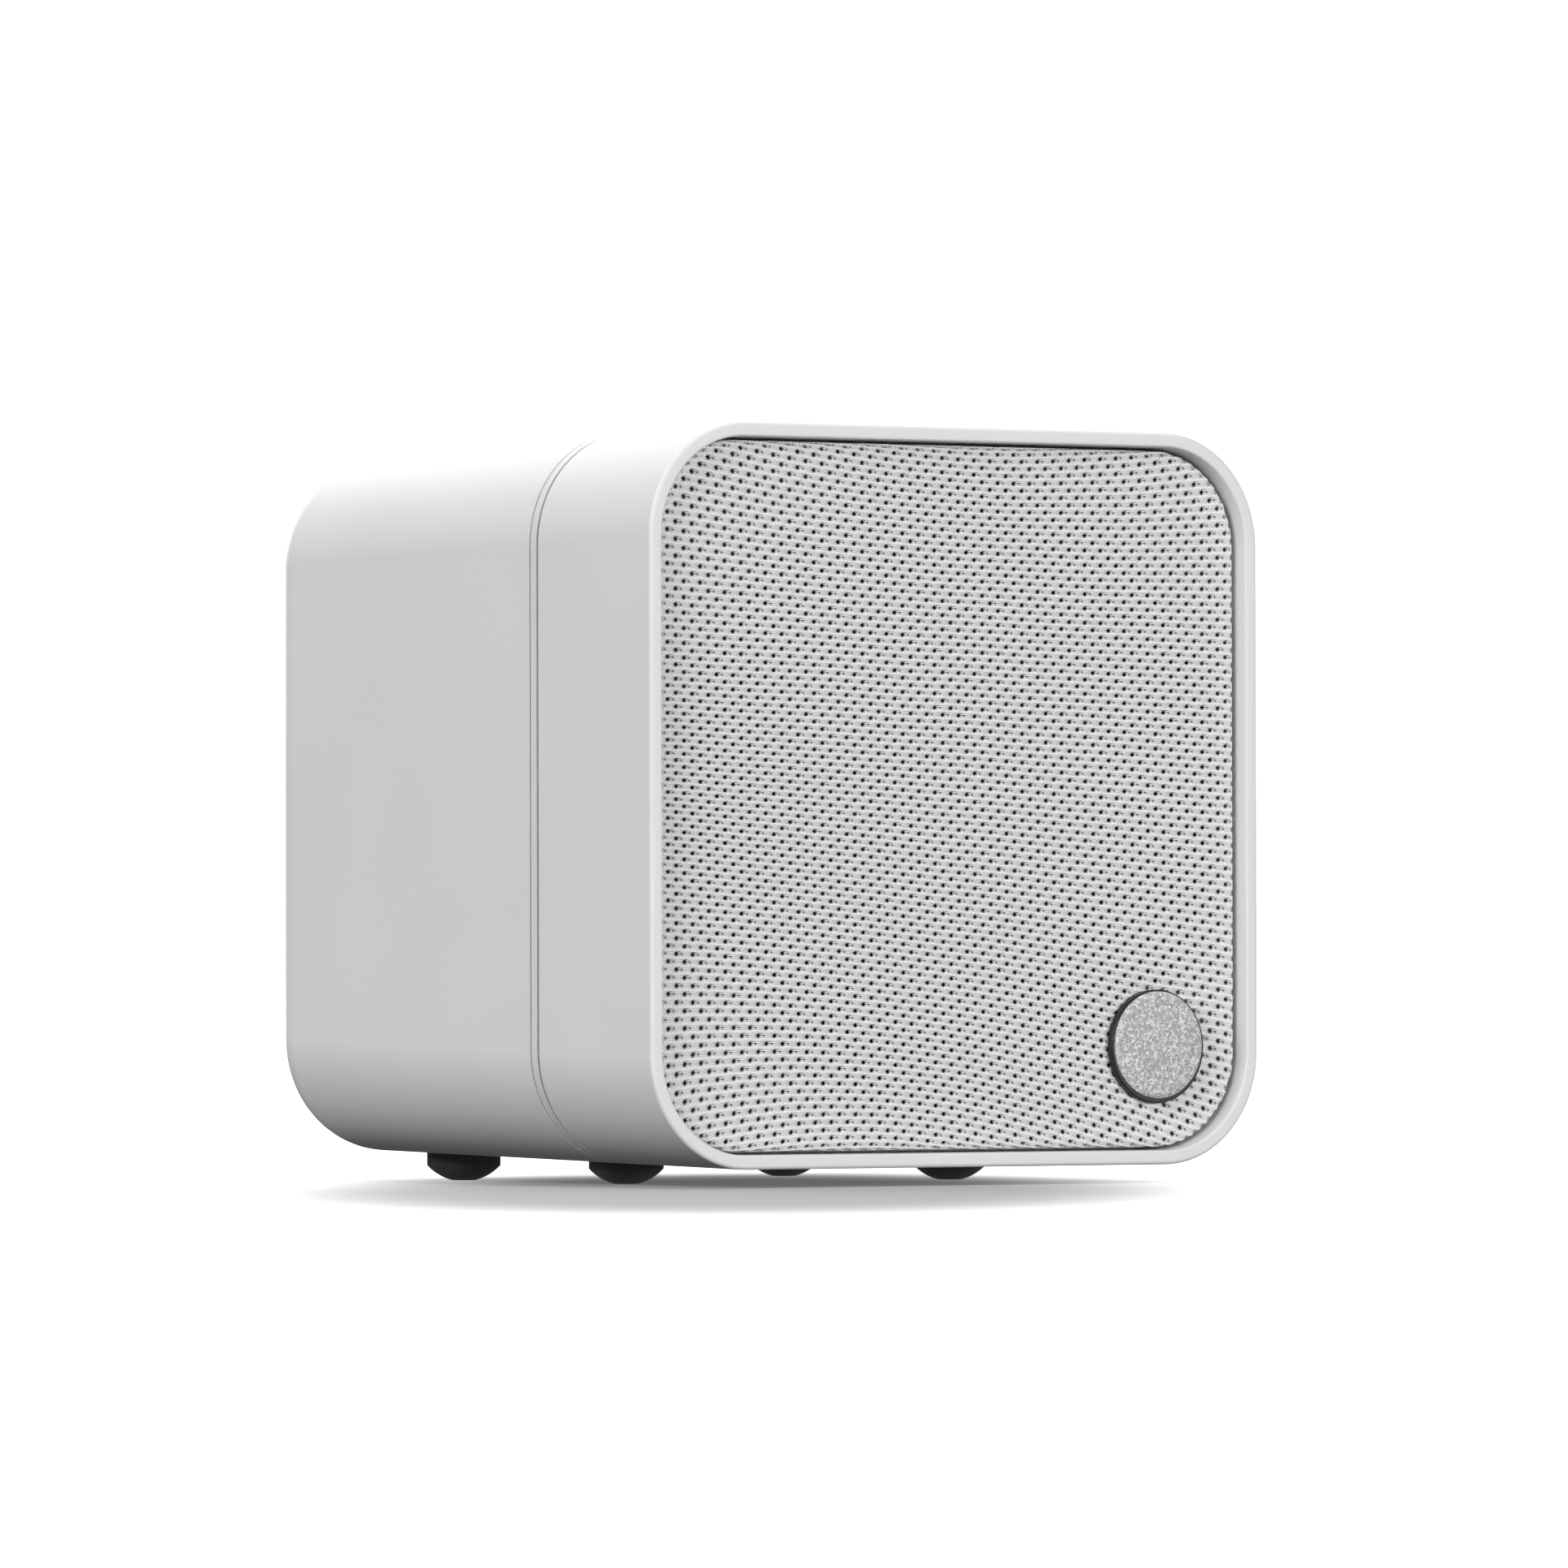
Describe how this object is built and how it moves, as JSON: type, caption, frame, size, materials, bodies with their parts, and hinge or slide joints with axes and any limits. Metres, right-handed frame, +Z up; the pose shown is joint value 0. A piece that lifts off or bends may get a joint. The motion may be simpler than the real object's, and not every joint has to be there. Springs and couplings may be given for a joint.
{
  "type": "compact loudspeaker",
  "caption": "Small cube loudspeaker in a two-part tapered white shell with a knitted pull-off grille, round metal badge, rubber feet and rear binding posts.",
  "frame": {"origin": "on the floor under the middle of the whole object, terminal caps included", "axes": "+Z up, the grille faces -Y, +X to the right seen from the front"},
  "size_m": [0.078, 0.085, 0.0799],
  "materials": {
    "white_shell": "fine satin, faintly textured",
    "white_band": "fine satin",
    "foot_rubber": "smooth, slightly glossy",
    "soft_rubber": "matt",
    "grille_knit": "open knitted grille cloth",
    "black_moulding": "moulded, fine grain",
    "badge_metal": "bead-blasted face, polished edge",
    "basket_paint": "powder coat",
    "plated_steel": "zinc plated",
    "black_screws": "black oxide",
    "diaphragm_skin": "coated paper skin over honeycomb",
    "former_film": "amber film",
    "copper": "enamelled copper",
    "spider_cloth": "resin-dipped cotton",
    "magnet_nickel": "nickel plated",
    "strip_board": "phenolic board",
    "tinned": "tinned",
    "wire_red": "PVC insulation",
    "wire_black": "PVC insulation",
    "wadding": "polyester fibre",
    "red_moulding": "moulded, translucent",
    "cap_black": "moulded",
    "gold_brass": "gold plated",
    "insert_brass": "turned"
  },
  "bodies": {
    "cabinet": {"front_shell": "white_shell", "seam_band": "white_band", "rear_shell": "white_shell", "shell_gasket": "soft_rubber", "shell_screws": "plated_steel", "foot_front_left": "foot_rubber", "foot_front_right": "foot_rubber", "foot_rear_left": "foot_rubber", "foot_rear_right": "foot_rubber", "peg_cups": "soft_rubber", "driver_basket": "basket_paint", "driver_gasket": "soft_rubber", "driver_screws": "black_screws", "surround": "soft_rubber", "spider": "spider_cloth", "tinsel_leads": "copper", "pole_plate": "plated_steel", "magnet": "magnet_nickel", "yoke_cup": "plated_steel", "terminal_strip": "strip_board", "driver_tags": "tinned", "push_on_connectors": "tinned", "wire_red": "wire_red", "wire_black": "wire_black", "damping_wadding": "wadding", "terminal_dish": "black_moulding", "dish_screws": "black_screws", "post_collar_red": "red_moulding", "post_collar_black": "cap_black", "post_shaft_red": "gold_brass", "post_shaft_black": "gold_brass", "post_nuts": "gold_brass", "solder_tags": "tinned", "bracket_insert": "insert_brass", "keyhole_plate": "plated_steel", "keyhole_screws": "black_screws"},
    "grille": {"grille_frame": "black_moulding", "grille_cloth": "grille_knit", "badge_disc": "badge_metal", "badge_holder": "black_moulding"},
    "cone": {"diaphragm": "diaphragm_skin", "coil_former": "former_film", "voice_coil": "copper"},
    "washer_red": {"clamp_washer_red": "gold_brass"},
    "knob_red": {"cap_red": "red_moulding", "cap_bush_red": "gold_brass"},
    "washer_black": {"clamp_washer_black": "gold_brass"},
    "knob_black": {"cap_black": "cap_black", "cap_bush_black": "gold_brass"}
  },
  "joints": [
    {"name": "grille_pull", "type": "slide", "parent": "cabinet", "child": "grille", "axis": [0, -1, 0], "range_m": [0, 0.012]},
    {"name": "cone_travel", "type": "slide", "parent": "cabinet", "child": "cone", "axis": [0, -1, 0], "range_m": [-0.002, 0.002], "stiffness_N_per_m": 1200, "deforming": ["surround", "spider", "tinsel_leads"]},
    {"name": "red_post_lift", "type": "slide", "parent": "cabinet", "child": "washer_red", "axis": [0, 1, 0], "range_m": [0, 0.0032]},
    {"name": "red_cap_turn", "type": "hinge", "parent": "washer_red", "child": "knob_red", "pos_m": [-0.0095, 0.0345, 0.0269], "axis": [0, 1, 0], "range_deg": [0, 1440]},
    {"name": "black_post_lift", "type": "slide", "parent": "cabinet", "child": "washer_black", "axis": [0, 1, 0], "range_m": [0, 0.0032]},
    {"name": "black_cap_turn", "type": "hinge", "parent": "washer_black", "child": "knob_black", "pos_m": [0.0095, 0.0345, 0.0269], "axis": [0, 1, 0], "range_deg": [0, 1440]}
  ],
  "couplings": [
    {"joint": "red_cap_turn", "follows": "red_post_lift", "rad_per_m": 7854},
    {"joint": "black_cap_turn", "follows": "black_post_lift", "rad_per_m": 7854}
  ]
}
